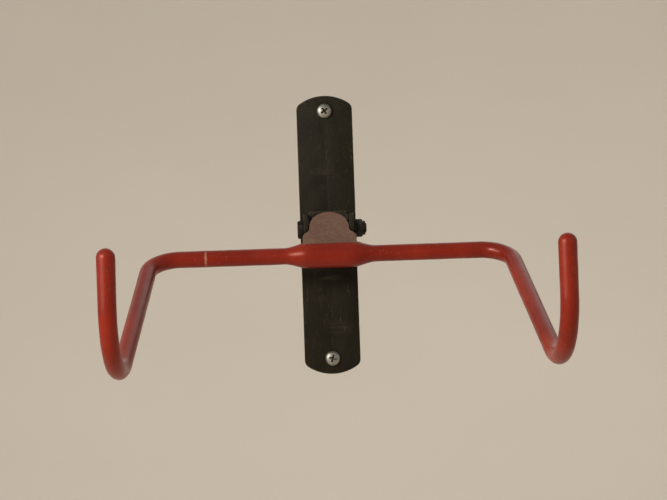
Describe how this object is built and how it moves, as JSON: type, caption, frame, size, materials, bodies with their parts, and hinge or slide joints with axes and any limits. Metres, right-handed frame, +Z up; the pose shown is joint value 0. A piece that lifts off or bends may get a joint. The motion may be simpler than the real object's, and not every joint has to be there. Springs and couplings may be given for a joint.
{
  "type": "bicycle wall rack",
  "caption": "Folding bicycle wall rack: a black wall plate with a hinged red rod frame whose arms end in J hooks for a bicycle's top tube.",
  "frame": {"origin": "centre of the wall plate's back face, on the wall's surface", "axes": "+X to the right seen from in front of the wall, +Y into the wall, +Z up; the arms reach out along -Y"},
  "size_m": [0.2648, 0.258, 0.18],
  "materials": {
    "black_paint": "semi-matte black paint on pressed steel",
    "painted_weld": "painted weld bead",
    "zinc_plate": "dull zinc plate",
    "black_fastener": "black oxide and oil",
    "white_nylon": "natural nylon",
    "dark_nylon": "dark nylon",
    "faded_red_paint": "faded, dusty red-brown paint",
    "bare_steel": "drawn steel rod",
    "red_plastic": "satin red plastic dip coat"
  },
  "bodies": {
    "wall_bracket": {"wall_plate": "black_paint", "fixing_screws": "zinc_plate", "hinge_clevis": "black_paint", "clevis_welds": "painted_weld", "hinge_bolt": "black_fastener", "bolt_washer": "black_fastener", "lock_nut": "black_fastener", "nut_insert": "white_nylon", "thrust_washers": "dark_nylon"},
    "hook_frame": {"hinge_barrel": "faded_red_paint", "barrel_welds": "faded_red_paint", "hinge_tab": "faded_red_paint", "hook_rod": "bare_steel", "rod_coat": "red_plastic"}
  },
  "joints": [
    {"name": "fold", "type": "hinge", "parent": "wall_bracket", "child": "hook_frame", "pos_m": [0, -0.02, 0.003], "axis": [-1, 0, 0], "range_deg": [0, 99]}
  ]
}
